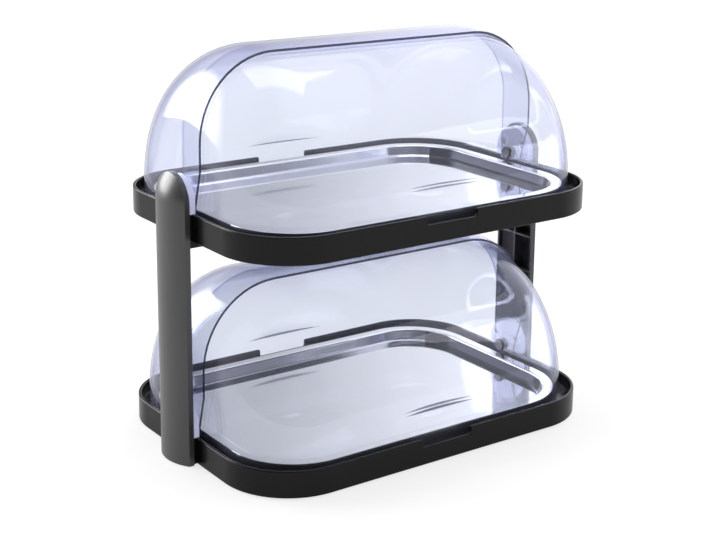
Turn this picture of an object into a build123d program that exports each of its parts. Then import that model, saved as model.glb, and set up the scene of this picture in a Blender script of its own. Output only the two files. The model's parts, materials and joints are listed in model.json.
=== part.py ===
from build123d import *
import os

# Two-tier cooled countertop display: two shallow bases carried by a post at each end,
# each with ice packs, a steel tray and a pair of roll-top covers on a common axis.
# Millimetres, +Z up, X along the width, -Y is the front.
# The origin is on the table, in the middle of the footprint.

os.makedirs("parts", exist_ok=True)

# Stand
base_width = 440.0
base_depth = 320.0
base_corner = 76.0
tier_spacing = 235.0
foot_stand_off = 1.0

# Base moulding, heights measured from its own underside
rim_height = 28.0
rim_wall = 3.5
rim_edge_round = 1.2
gutter_floor_height = 14.0
gutter_floor_thickness = 2.5
ledge_inset = 16.5
ledge_wall = 2.5
ledge_height = 24.6
ledge_corner = 74.0
pan_floor = 2.5
divider_thickness = 3.0
divider_height = 6.0
divider_length = 200.0
notch_width = 64.0
notch_depth = 8.5
notch_corner = 3.0

# Steel tray
tray_sheet = 1.0
tray_flange = 12.0
tray_flange_inset = 0.5
tray_wall_slope = 4.0
tray_floor_height = 14.0
tray_seat_gap = 0.2

# Ice packs
pack_length = 184.0
pack_depth = 236.0
pack_thickness = 9.4
pack_corner = 16.0
pack_edge_round = 2.5
pack_gap = 0.3
pack_plug_radius = 9.0
pack_plug_recess = 1.5
pack_plug_inset = 24.0

# Roll-top covers, angles and levels measured from the pivot axis where not said otherwise
cover_side_gap = 3.0
cover_radius = 153.0
cover_wall = 2.5
cover_corner = 85.0
cover_nest_gap = 1.0
axis_height = 34.0
cover_drop = 19.5
front_cover_overlap = 10.0
rear_cover_overlap = 30.0
rear_cover_shoulder = 37.0
grip_width = 96.0
grip_depth = 7.0
grip_height = 9.0
grip_level = 9.0

# Posts
post_gap = 4.5
post_half_width = 30.0
post_side_depth = 5.5
post_crown = 10.0
post_wall = 2.5
post_head_reach = 67.0
post_seam_drop = 9.0
post_web = 2.0
post_rib_pitch = 42.0
post_boss_radius = 4.6
spigot_length = 12.0
spigot_wall = 2.0
spigot_gap = 0.15
foot_plug_gap = 0.2

# Hinge plates, pivot pins and washers
part_gap = 0.2
plate_margin = 3.0
plate_boss_radius = 8.5
plate_boss_height = 1.2
plate_screw_spacing = 32.0
plate_screw_height = 44.0
counterbore_depth = 3.0
pin_radius = 4.0
pin_hole_clearance = 0.05
pin_socket_depth = 5.5
pin_head_radius = 7.0
pin_head_thickness = 1.7
pin_head_gap = 0.3
washer_gap = 0.3

# Brackets between the bases and the posts
bracket_shelf = 5.7
bracket_shelf_reach = 16.0
bracket_corner = 6.0
bracket_screw_spacing = 42.0
bracket_screw_height = 7.0
shelf_screw_spacing = 18.0
shelf_screw_inset = 10.0
shelf_boss_radius = 4.2
shelf_boss_gap = 0.5

# Screws
screw_radius = 2.0
screw_head_radius = 4.0
screw_head_height = 2.3
screw_head_gap = 0.4
screw_hole_clearance = 0.2
screw_thread_clearance = 0.05
screw_slot_width = 1.0
screw_slot_depth = 0.9
screw_engagement = 7.0
screw_hole_spare = 0.5
shelf_screw_length = 14.0

# Rubber feet
foot_radius = 9.0
foot_recess = 1.2
foot_fit_gap = 0.15
foot_x = 155.0
foot_y = 100.0

# Places and faces that several pieces share
half_width = base_width / 2
half_depth = base_depth / 2
lower_level = foot_stand_off
upper_level = lower_level + tier_spacing
ledge_half_width = half_width - ledge_inset
ledge_half_depth = half_depth - ledge_inset
rim_inner_face = half_width - rim_wall
cover_half_width = rim_inner_face - cover_side_gap
nest_step = cover_wall + cover_nest_gap
inner_cover_face = cover_half_width - nest_step - cover_wall
post_inner_face = half_width + post_gap
post_side_end = post_inner_face + post_side_depth
post_outer_face = post_side_end + post_crown
post_top = upper_level + post_head_reach
post_seam = upper_level - post_seam_drop
shelf_screw_x = half_width - shelf_screw_inset
pin_hole_radius = pin_radius + pin_hole_clearance
screw_hole_radius = screw_radius + screw_hole_clearance
thread_hole_radius = screw_radius + screw_thread_clearance
gutter_underside = gutter_floor_height - gutter_floor_thickness
foot_plug_top = lower_level + bracket_screw_height - post_boss_radius - foot_plug_gap
grip_radius = ((grip_width / 2) ** 2 + grip_depth**2) / (2 * grip_depth)

tiers = [("lower", lower_level), ("upper", upper_level)]
sides = [("left", -1), ("right", 1)]


def save(solid, name):
    """Labels a finished piece and writes it as its own STEP file."""
    solid.label = name
    export_step(solid, f"parts/{name}.step")


def save_side(solid, side, name):
    """Saves a piece drawn at the right-hand end, mirrored when it belongs to the left."""
    save(solid if side > 0 else mirror(solid, about=Plane.YZ), name)


def side_plane(x, z):
    """A plane facing +X at height z, with sketch axes along world Y and Z."""
    return Plane(origin=(x, 0, z), x_dir=(0, 1, 0), z_dir=(1, 0, 0))


def front_plane(y, z):
    """A plane facing the front at height z, with sketch axes along world X and Z."""
    return Plane(origin=(0, y, z), x_dir=(1, 0, 0), z_dir=(0, -1, 0))


def make_base(name, level, has_feet, has_shelf_screws):
    """Shallow moulding: skirt, gutter for the covers, ledge for the tray, pan for the packs."""
    rim_inside = (base_width - 2 * rim_wall, base_depth - 2 * rim_wall, base_corner - rim_wall)
    ledge_outside = (2 * ledge_half_width, 2 * ledge_half_depth, ledge_corner)
    ledge_inside = (
        2 * (ledge_half_width - ledge_wall),
        2 * (ledge_half_depth - ledge_wall),
        ledge_corner - ledge_wall,
    )
    with BuildPart() as base:
        with BuildSketch(Plane.XY.offset(level)):
            RectangleRounded(base_width, base_depth, base_corner)
        extrude(amount=rim_height)
        with BuildSketch(Plane.XY.offset(level + gutter_floor_height)):
            RectangleRounded(*rim_inside)
        extrude(amount=rim_height, mode=Mode.SUBTRACT)
        fillet(base.edges().group_by(Axis.Z)[-1], rim_edge_round)

        # Hollow under the gutter, open downwards
        with BuildSketch(Plane.XY.offset(level)):
            RectangleRounded(*rim_inside)
            RectangleRounded(*ledge_outside, mode=Mode.SUBTRACT)
        extrude(amount=gutter_underside, mode=Mode.SUBTRACT)

        # Ledge that carries the tray, and the pan inside it
        with BuildSketch(Plane.XY.offset(level + gutter_floor_height)):
            RectangleRounded(*ledge_outside)
        extrude(amount=ledge_height - gutter_floor_height)
        with BuildSketch(Plane.XY.offset(level + pan_floor)):
            RectangleRounded(*ledge_inside)
        extrude(amount=rim_height, mode=Mode.SUBTRACT)
        with BuildSketch(Plane.XY.offset(level + pan_floor)):
            Rectangle(divider_thickness, divider_length)
        extrude(amount=divider_height)

        # Finger notches in the middle of the front and rear rims
        for rim_y in (rim_wall / 2 - half_depth, half_depth - rim_wall / 2):
            with BuildSketch(front_plane(rim_y, level + rim_height)):
                Rectangle(notch_width, 2 * notch_depth)
                fillet(vertices().group_by(Axis.Y)[0], notch_corner)
            extrude(amount=rim_wall, both=True, mode=Mode.SUBTRACT)

        # Holes through the end walls for the bracket screws
        for end in (-1, 1):
            with BuildSketch(side_plane(end * half_width, level + bracket_screw_height)):
                with GridLocations(bracket_screw_spacing, 1, 2, 1):
                    Circle(screw_hole_radius)
            extrude(amount=-end * (rim_wall + cover_side_gap), mode=Mode.SUBTRACT)

        # Bosses under the gutter for the screws that come up through a bracket's shelf
        if has_shelf_screws:
            with BuildSketch(Plane.XY.offset(level + shelf_boss_gap)):
                with GridLocations(2 * shelf_screw_x, shelf_screw_spacing, 2, 2):
                    Circle(shelf_boss_radius)
                    Circle(thread_hole_radius, mode=Mode.SUBTRACT)
            extrude(amount=gutter_underside - shelf_boss_gap)
        if has_feet:
            with BuildSketch(Plane.XY.offset(level)):
                with GridLocations(2 * foot_x, 2 * foot_y, 2, 2):
                    Circle(foot_radius + foot_fit_gap)
            extrude(amount=foot_recess, mode=Mode.SUBTRACT)
    save(base.part, name)


def make_tray(name, level):
    """Pressed steel tray: flat flange on the ledge, sloping wall and a flat floor."""
    flange_top = level + ledge_height + tray_seat_gap + tray_sheet
    floor_top = level + tray_floor_height
    flange_width = 2 * (ledge_half_width - tray_flange_inset)
    flange_depth = 2 * (ledge_half_depth - tray_flange_inset)
    flange_corner = ledge_corner - tray_flange_inset
    mouth = (flange_width - 2 * tray_flange, flange_depth - 2 * tray_flange, flange_corner - tray_flange)
    floor = (mouth[0] - 2 * tray_wall_slope, mouth[1] - 2 * tray_wall_slope, mouth[2] - tray_wall_slope)
    skin = 2 * tray_sheet
    with BuildPart() as tray:
        with BuildSketch(Plane.XY.offset(flange_top)):
            RectangleRounded(mouth[0] + skin, mouth[1] + skin, mouth[2] + tray_sheet)
        with BuildSketch(Plane.XY.offset(floor_top - tray_sheet)):
            RectangleRounded(floor[0] + skin, floor[1] + skin, floor[2] + tray_sheet)
        loft()
        with BuildSketch(Plane.XY.offset(flange_top - tray_sheet)):
            RectangleRounded(flange_width, flange_depth, flange_corner)
        extrude(amount=tray_sheet)
        with BuildSketch(Plane.XY.offset(flange_top)):
            RectangleRounded(*mouth)
        with BuildSketch(Plane.XY.offset(floor_top)):
            RectangleRounded(*floor)
        loft(mode=Mode.SUBTRACT)
    save(tray.part, name)


def make_ice_pack(name, level, side):
    """Flat cold pack with a recessed filler plug near one corner."""
    centre_x = side * (divider_thickness / 2 + pack_gap + pack_length / 2)
    plug_x = centre_x + side * (pack_length / 2 - pack_plug_inset)
    plug_y = pack_plug_inset - pack_depth / 2
    pack_bottom = level + pan_floor + pack_gap
    with BuildPart() as pack:
        with BuildSketch(Plane.XY.offset(pack_bottom)):
            with Locations((centre_x, 0)):
                RectangleRounded(pack_length, pack_depth, pack_corner)
        extrude(amount=pack_thickness)
        fillet(pack.edges().group_by(Axis.Z)[0] + pack.edges().group_by(Axis.Z)[-1], pack_edge_round)
        with BuildSketch(Plane.XY.offset(pack_bottom + pack_thickness)):
            with Locations((plug_x, plug_y)):
                Circle(pack_plug_radius)
                Circle(pack_plug_radius / 2, mode=Mode.SUBTRACT)
        extrude(amount=-pack_plug_recess, mode=Mode.SUBTRACT)
    save(pack.part, name)


def make_capsule(level, inset):
    """Solid barrel with flat ends and rounded corners, turned about the pivot axis."""
    axis_level = level + axis_height
    with BuildPart() as capsule:
        with BuildSketch(front_plane(0, axis_level)):
            Rectangle(
                2 * (cover_half_width - inset), cover_radius - inset, align=(Align.CENTER, Align.MIN)
            )
            fillet(vertices().group_by(Axis.Y)[-1], cover_corner - inset)
        revolve(axis=Axis((0, 0, axis_level), (1, 0, 0)))
    return capsule.part


def make_front_cover(name, level):
    """Inner cover: rolls back under the rear one, with a finger pocket pressed into its front."""
    axis_level = level + axis_height
    skin_radius = cover_radius - nest_step
    pocket_tip = grip_radius - grip_depth
    pocket_y = -skin_radius - pocket_tip
    pocket_level = axis_level + grip_level
    reach = base_depth
    with BuildPart() as cavity:
        add(make_capsule(level, nest_step + cover_wall))
        with Locations((0, pocket_y, pocket_level - cover_wall)):
            Cone(
                pocket_tip + cover_wall,
                grip_radius + cover_wall,
                grip_height + 2 * cover_wall,
                align=(Align.CENTER, Align.CENTER, Align.MIN),
                mode=Mode.SUBTRACT,
            )
    with BuildPart() as cover:
        add(make_capsule(level, nest_step))
        with BuildSketch(side_plane(0, axis_level)):
            with BuildLine():
                Polyline(
                    (0, -cover_drop),
                    (-reach, -cover_drop),
                    (-reach, reach),
                    (front_cover_overlap, reach),
                    (front_cover_overlap, 0),
                    (cover_drop, 0),
                )
                CenterArc((0, 0), cover_drop, 0, -90)
            make_face()
            with Locations((front_cover_overlap, 0)):
                Rectangle(base_depth, base_depth, align=(Align.MAX, Align.CENTER), mode=Mode.INTERSECT)
        extrude(amount=base_width, both=True, mode=Mode.INTERSECT)
        add(cavity.part, mode=Mode.SUBTRACT)
        with Locations((0, pocket_y, pocket_level)):
            Cone(
                pocket_tip,
                grip_radius,
                grip_height,
                align=(Align.CENTER, Align.CENTER, Align.MIN),
                mode=Mode.SUBTRACT,
            )
        with BuildSketch(side_plane(0, axis_level)):
            Circle(pin_hole_radius)
        extrude(amount=base_width, both=True, mode=Mode.SUBTRACT)
    save(cover.part, name)


def make_rear_cover(name, level):
    """Outer cover: rolls forward over the front one, with a finger lip standing out at the rear."""
    axis_level = level + axis_height
    reach = base_depth
    with BuildPart() as cover:
        add(make_capsule(level, 0))
        with Locations((0, cover_radius + grip_depth - grip_radius, axis_level + grip_level)):
            Cone(
                grip_radius,
                grip_radius - grip_depth,
                grip_height,
                align=(Align.CENTER, Align.CENTER, Align.MIN),
            )
        with BuildSketch(side_plane(0, axis_level)):
            with BuildLine():
                Polyline(
                    (0, -cover_drop),
                    (reach, -cover_drop),
                    (reach, reach),
                    (-rear_cover_overlap, reach),
                    (-rear_cover_overlap, rear_cover_shoulder),
                    (-cover_drop, 0),
                )
                CenterArc((0, 0), cover_drop, 180, 90)
            make_face()
        extrude(amount=base_width, both=True, mode=Mode.INTERSECT)
        add(make_capsule(level, cover_wall), mode=Mode.SUBTRACT)
        with BuildSketch(side_plane(0, axis_level)):
            Circle(pin_hole_radius)
        extrude(amount=base_width, both=True, mode=Mode.SUBTRACT)
    save(cover.part, name)


def draw_post_section(half, inner_face, outer_face):
    """D-shaped section of the right-hand post, flat towards the bases."""
    with BuildSketch() as section:
        with BuildLine():
            Polyline((post_side_end, -half), (inner_face, -half), (inner_face, half), (post_side_end, half))
            ThreePointArc((post_side_end, half), (outer_face, 0), (post_side_end, -half))
        make_face()
    return section.sketch


def make_post_blank(inset, bottom, top, domed_top):
    """Solid length of the right-hand post, its section turned over the top where it is the head."""
    half = post_half_width - inset
    inner_face = post_inner_face if inset == 0 else half_width
    section = draw_post_section(half, inner_face, post_outer_face - inset)
    shaft_top = top - half if domed_top else top
    with BuildPart() as blank:
        with BuildSketch(Plane.XY.offset(bottom)):
            add(section)
        extrude(amount=shaft_top - bottom)
        if domed_top:
            with BuildSketch(Plane.XY.offset(shaft_top)):
                add(section)
                Rectangle(2 * base_width, base_depth, align=(Align.CENTER, Align.MIN), mode=Mode.INTERSECT)
            revolve(axis=Axis((0, 0, shaft_top), (1, 0, 0)))
    return blank.part


def make_post_inside(web_bottom, web_top, boss_rows):
    """Centre web, cross ribs and screw bosses, drawn from the open face outwards."""
    depth = post_outer_face - post_wall - post_inner_face
    rib_count = int((web_top - web_bottom - post_web) // post_rib_pitch)
    with BuildPart() as inside:
        with BuildSketch(side_plane(post_inner_face, 0)):
            with Locations((0, web_bottom)):
                Rectangle(post_web, web_top - web_bottom, align=(Align.CENTER, Align.MIN))
            for step in range(1, rib_count + 1):
                with Locations((0, web_bottom + step * post_rib_pitch)):
                    Rectangle(2 * post_half_width - post_wall, post_web)
            for spacing, height in boss_rows:
                with Locations((0, height)):
                    with GridLocations(spacing, 1, 2, 1):
                        Circle(post_boss_radius)
        extrude(amount=depth)
        with BuildSketch(side_plane(post_inner_face, 0)):
            for spacing, height in boss_rows:
                with Locations((0, height)):
                    with GridLocations(spacing, 1, 2, 1):
                        Circle(thread_hole_radius)
        extrude(amount=screw_engagement + screw_hole_spare, mode=Mode.SUBTRACT)
    return inside.part


def boss_rows_at(level):
    """Spacing and height of the two rows of screws that hold a base and its hinge plate."""
    return [
        (bracket_screw_spacing, level + bracket_screw_height),
        (plate_screw_spacing, level + plate_screw_height),
    ]


def make_post(name, side):
    """Lower length of a post, open towards the bases, up to the seam below the upper base."""
    bottom = foot_stand_off
    web_bottom = foot_plug_top + foot_plug_gap
    web_top = post_seam - spigot_length - part_gap
    with BuildPart() as trimmed:
        add(make_post_inside(web_bottom, web_top, boss_rows_at(lower_level)))
        add(make_post_blank(post_wall / 2, bottom, post_seam, False), mode=Mode.INTERSECT)
    with BuildPart() as post:
        add(make_post_blank(0, bottom, post_seam, False))
        add(make_post_blank(post_wall, bottom, post_seam, False), mode=Mode.SUBTRACT)
        add(trimmed.part)
    save_side(post.part, side, name)


def make_post_head(name, side):
    """Domed head of a post, with a spigot that plugs into the length below it."""
    spigot_outside = post_wall + spigot_gap
    spigot_inside = spigot_outside + spigot_wall
    collar_top = post_seam + spigot_wall
    with BuildPart() as trimmed:
        add(make_post_inside(post_seam, post_top, boss_rows_at(upper_level)))
        add(make_post_blank(post_wall / 2, post_seam, post_top - post_wall / 2, True), mode=Mode.INTERSECT)
    with BuildPart() as head:
        add(make_post_blank(0, post_seam, post_top, True))
        add(make_post_blank(post_wall, collar_top, post_top - post_wall, True), mode=Mode.SUBTRACT)
        add(make_post_blank(spigot_inside, post_seam, collar_top, False), mode=Mode.SUBTRACT)
        add(make_post_blank(spigot_outside, post_seam - spigot_length, post_seam, False))
        add(
            make_post_blank(spigot_inside, post_seam - spigot_length, post_seam, False),
            mode=Mode.SUBTRACT,
        )
        add(trimmed.part)
        with BuildSketch(side_plane(half_width, post_seam - spigot_length)):
            Rectangle(base_depth, base_depth, align=(Align.CENTER, Align.MIN))
        extrude(amount=post_gap, mode=Mode.SUBTRACT)
    save_side(head.part, side, name)


def make_foot_plug(name, side):
    """Rubber plug that closes the bottom of a post and stands on the table."""
    with BuildPart() as plug:
        add(make_post_blank(post_wall + foot_plug_gap, 0, foot_plug_top, False))
        with BuildSketch(side_plane(half_width, 0)):
            Rectangle(base_depth, base_depth)
        extrude(amount=post_gap, mode=Mode.SUBTRACT)
    save_side(plug.part, side, name)


def make_hinge_plate(name, level, side):
    """Round-topped plate that fills a post above the rim and holds the pivot pin."""
    half = post_half_width - plate_margin
    bottom = level + rim_height + part_gap
    arch_level = level + post_head_reach - post_half_width
    screw_level = level + plate_screw_height
    with BuildPart() as plate:
        with BuildSketch(side_plane(rim_inner_face, 0)):
            with Locations((0, arch_level)):
                Circle(half)
            with Locations((0, bottom)):
                Rectangle(2 * half, arch_level - bottom, align=(Align.CENTER, Align.MIN))
            with Locations((0, bottom)):
                Rectangle(
                    2 * half, base_depth, align=(Align.CENTER, Align.MAX), mode=Mode.SUBTRACT
                )
        extrude(amount=post_inner_face - part_gap - rim_inner_face)
        with BuildSketch(side_plane(rim_inner_face, screw_level)):
            with GridLocations(plate_screw_spacing, 1, 2, 1):
                Circle(plate_boss_radius)
        extrude(amount=-plate_boss_height)
        with BuildSketch(side_plane(rim_inner_face - plate_boss_height, screw_level)):
            with GridLocations(plate_screw_spacing, 1, 2, 1):
                Circle(screw_head_radius + screw_head_gap)
        extrude(amount=plate_boss_height + counterbore_depth, mode=Mode.SUBTRACT)
        with BuildSketch(side_plane(rim_inner_face, screw_level)):
            with GridLocations(plate_screw_spacing, 1, 2, 1):
                Circle(screw_hole_radius)
        extrude(amount=post_inner_face - rim_inner_face, mode=Mode.SUBTRACT)
        with BuildSketch(side_plane(rim_inner_face, level + axis_height)):
            Circle(pin_hole_radius)
        extrude(amount=pin_socket_depth + pin_head_gap, mode=Mode.SUBTRACT)
    save_side(plate.part, side, name)


def make_pivot_pin(name, level, side):
    """Headed pin through both covers, pressed into the hinge plate."""
    head_face = inner_cover_face - pin_head_gap
    with BuildPart() as pin:
        with BuildSketch(side_plane(head_face, level + axis_height)):
            Circle(pin_head_radius)
        extrude(amount=-pin_head_thickness)
        fillet(pin.edges().group_by(Axis.X)[0], pin_head_thickness / 2)
        with BuildSketch(side_plane(head_face, level + axis_height)):
            Circle(pin_radius)
        extrude(amount=rim_inner_face + pin_socket_depth - head_face)
    save_side(pin.part, side, name)


def make_washer(name, level, side):
    """Spacer on the pin between the hinge plate and the outer cover."""
    with BuildPart() as washer:
        with BuildSketch(side_plane(cover_half_width + washer_gap, level + axis_height)):
            Circle(pin_head_radius)
            Circle(pin_hole_radius, mode=Mode.SUBTRACT)
        extrude(amount=cover_side_gap - 2 * washer_gap)
    save_side(washer.part, side, name)


def make_bracket(name, level, side, has_shelf):
    """Spacer between a base and its post; the upper one also has a shelf under the base."""
    leg_x = half_width + part_gap
    leg_depth = post_gap - 2 * part_gap
    leg_width = 2 * (post_half_width - post_wall)
    leg_top = level + rim_height - part_gap
    shelf_top = level - part_gap
    leg_bottom = shelf_top - bracket_shelf if has_shelf else level
    shelf_x = half_width - bracket_shelf_reach
    with BuildPart() as bracket:
        with BuildSketch(side_plane(leg_x, leg_bottom)):
            Rectangle(leg_width, leg_top - leg_bottom, align=(Align.CENTER, Align.MIN))
            with Locations((0, level + bracket_screw_height - leg_bottom)):
                with GridLocations(bracket_screw_spacing, 1, 2, 1):
                    Circle(screw_hole_radius, mode=Mode.SUBTRACT)
        extrude(amount=leg_depth)
        if has_shelf:
            with BuildSketch(Plane.XY.offset(leg_bottom)):
                with Locations((shelf_x, 0)):
                    Rectangle(leg_x + leg_depth - shelf_x, leg_width, align=(Align.MIN, Align.CENTER))
                fillet(vertices().group_by(Axis.X)[0], bracket_corner)
                with Locations((shelf_screw_x, 0)):
                    with GridLocations(1, shelf_screw_spacing, 1, 2):
                        Circle(screw_hole_radius, mode=Mode.SUBTRACT)
            extrude(amount=bracket_shelf)
            with BuildSketch(Plane.XY.offset(leg_bottom)):
                with Locations((shelf_screw_x, 0)):
                    with GridLocations(1, shelf_screw_spacing, 1, 2):
                        Circle(screw_head_radius + screw_head_gap)
            extrude(amount=counterbore_depth, mode=Mode.SUBTRACT)
    save_side(bracket.part, side, name)


def make_screws(name, side, seats, x_dir, z_dir, length):
    """Group of pan-head screws; each seat is the point under a head, which stands out along z_dir."""
    with BuildPart() as screws:
        for seat in seats:
            under_head = Plane(origin=seat, x_dir=x_dir, z_dir=z_dir)
            with BuildSketch(under_head):
                Circle(screw_head_radius)
            extrude(amount=screw_head_height)
            with BuildSketch(under_head):
                Circle(screw_radius)
            extrude(amount=-length)
            with BuildSketch(under_head.offset(screw_head_height)):
                Rectangle(screw_slot_width, 2 * screw_head_radius - screw_radius)
                Rectangle(2 * screw_head_radius - screw_radius, screw_slot_width)
            extrude(amount=-screw_slot_depth, mode=Mode.SUBTRACT)
    save_side(screws.part, side, name)


def make_side_screws(level, side, prefix, has_shelf):
    """The screws at one end of one base: hinge plate, bracket and, under the upper base, shelf."""
    tip_x = post_inner_face + screw_engagement
    plate_seat_x = rim_inner_face + counterbore_depth
    wall_seat_x = rim_inner_face
    along_y = (0, 1, 0)
    plate_seats = [
        (plate_seat_x, end * plate_screw_spacing / 2, level + plate_screw_height) for end in (-1, 1)
    ]
    wall_seats = [
        (wall_seat_x, end * bracket_screw_spacing / 2, level + bracket_screw_height) for end in (-1, 1)
    ]
    make_screws(f"{prefix}_hinge_screws", side, plate_seats, along_y, (-1, 0, 0), tip_x - plate_seat_x)
    make_screws(f"{prefix}_bracket_screws", side, wall_seats, along_y, (-1, 0, 0), tip_x - wall_seat_x)
    if has_shelf:
        shelf_seat = level - part_gap - bracket_shelf + counterbore_depth
        shelf_seats = [(shelf_screw_x, end * shelf_screw_spacing / 2, shelf_seat) for end in (-1, 1)]
        make_screws(f"{prefix}_shelf_screws", side, shelf_seats, along_y, (0, 0, -1), shelf_screw_length)


def make_feet():
    """Four rubber pads recessed into the underside of the lower base."""
    with BuildPart() as feet:
        with BuildSketch(Plane.XY):
            with GridLocations(2 * foot_x, 2 * foot_y, 2, 2):
                Circle(foot_radius)
        extrude(amount=foot_stand_off + foot_recess)
    save(feet.part, "rubber_feet")


for tier, level in tiers:
    is_upper = tier == "upper"
    make_base(f"{tier}_base", level, not is_upper, is_upper)
    make_tray(f"{tier}_tray", level)
    make_front_cover(f"{tier}_front_cover", level)
    make_rear_cover(f"{tier}_rear_cover", level)
    for side_name, side in sides:
        prefix = f"{tier}_{side_name}"
        make_ice_pack(f"{prefix}_ice_pack", level, side)
        make_hinge_plate(f"{prefix}_hinge_plate", level, side)
        make_pivot_pin(f"{prefix}_pivot_pin", level, side)
        make_washer(f"{prefix}_pivot_washer", level, side)
        make_bracket(f"{prefix}_bracket", level, side, is_upper)
        make_side_screws(level, side, prefix, is_upper)

for side_name, side in sides:
    make_post(f"{side_name}_post", side)
    make_post_head(f"{side_name}_post_head", side)
    make_foot_plug(f"{side_name}_foot_plug", side)

make_feet()
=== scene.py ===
import json
import math

import bmesh
import bpy
from mathutils import Euler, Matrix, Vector
from mathutils.geometry import tessellate_polygon

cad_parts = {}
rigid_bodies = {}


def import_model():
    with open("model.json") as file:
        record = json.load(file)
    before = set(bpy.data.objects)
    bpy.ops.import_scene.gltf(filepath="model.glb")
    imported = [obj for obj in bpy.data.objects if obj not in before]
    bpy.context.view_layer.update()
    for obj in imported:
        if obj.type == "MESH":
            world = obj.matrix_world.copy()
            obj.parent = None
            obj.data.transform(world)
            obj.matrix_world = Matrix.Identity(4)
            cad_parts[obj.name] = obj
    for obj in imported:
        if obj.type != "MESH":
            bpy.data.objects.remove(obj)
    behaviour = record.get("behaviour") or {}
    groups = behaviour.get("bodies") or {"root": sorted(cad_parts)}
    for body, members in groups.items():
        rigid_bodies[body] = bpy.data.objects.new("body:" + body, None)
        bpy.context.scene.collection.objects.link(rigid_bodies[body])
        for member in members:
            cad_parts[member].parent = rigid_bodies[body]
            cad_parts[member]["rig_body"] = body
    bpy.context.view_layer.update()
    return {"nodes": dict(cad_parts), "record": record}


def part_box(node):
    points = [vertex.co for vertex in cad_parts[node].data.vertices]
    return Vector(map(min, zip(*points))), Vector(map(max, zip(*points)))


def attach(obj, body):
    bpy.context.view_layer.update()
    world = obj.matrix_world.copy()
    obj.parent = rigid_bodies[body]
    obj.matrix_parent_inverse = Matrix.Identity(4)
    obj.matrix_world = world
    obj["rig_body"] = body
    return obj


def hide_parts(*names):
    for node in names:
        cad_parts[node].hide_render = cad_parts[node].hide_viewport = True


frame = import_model()
print("frame loaded:", len(frame["nodes"]), "nodes")

mm = 0.001
tiers = ("lower", "upper")
sides = {"left": -1, "right": 1}


# Camera and studio

camera = {
    "azimuth": -35.316,
    "elevation": 13.757,
    "roll": 0.547,
    "focalLength": 72.976,
    "distance": 1568.7 * mm,
    "target": (-0.3 * mm, 3.3 * mm, 259.4 * mm),
    "shiftY": -0.12,
}

studio = {
    "floorSize": 14.0,
    "floorColour": (0.36, 0.36, 0.36),
    "floorGlow": 0.72,
    "floorGlowReflected": 0.38,
    "darkSide": 0.12,
    "brightSide": 1.0,
    "brightFrom": (0.35, 0.85, 0.35),
    "brightSpan": (-0.55, 0.45),
    "leftShare": 0.62,
    "rightShare": 1.5,
    "rightward": (0.81, -0.59, 0.0),
    "rightSpan": (-0.12, 0.13),
    "glowToward": (-0.482, 0.834, 0.271),
    "glowStrength": 7.0,
    "glowSpan": (0.885, 0.975),
}

softboxes = {
    "overheadSoftbox": {
        "place": (0.15, 0.35, 1.75),
        "aim": (0, 0, 0.2),
        "size": (1.2, 0.7),
        "power": 7,
    },
    "frontRightFill": {
        "place": (1.3, -1.3, 0.9),
        "aim": (0.1, 0, 0.3),
        "size": (0.25, 1.0),
        "power": 1.5,
    },
}


def makeCamera():
    lens = bpy.data.cameras.new("photoCamera")
    lens.lens = camera["focalLength"]
    lens.shift_y = camera["shiftY"]
    lens.clip_end = 50
    holder = bpy.data.objects.new("photoCamera", lens)
    bpy.context.scene.collection.objects.link(holder)
    azimuth = math.radians(camera["azimuth"])
    elevation = math.radians(camera["elevation"])
    outward = Vector((
        math.sin(azimuth) * math.cos(elevation),
        -math.cos(azimuth) * math.cos(elevation),
        math.sin(elevation),
    ))
    holder.location = Vector(camera["target"]) + outward * camera["distance"]
    turn = Euler((math.pi / 2 - elevation, 0, azimuth)).to_matrix()
    roll = Euler((0, 0, math.radians(camera["roll"]))).to_matrix()
    holder.rotation_euler = (turn @ roll).to_euler()
    bpy.context.scene.camera = holder


def makeLamp(name, place, aim, size, power):
    lamp = bpy.data.lights.new(name, "AREA")
    lamp.shape = "RECTANGLE"
    lamp.size, lamp.size_y = size
    lamp.energy = power
    holder = bpy.data.objects.new(name, lamp)
    holder.location = place
    holder.rotation_euler = (Vector(aim) - Vector(place)).to_track_quat("-Z", "Y").to_euler()
    bpy.context.scene.collection.objects.link(holder)


# Shader maths

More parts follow.
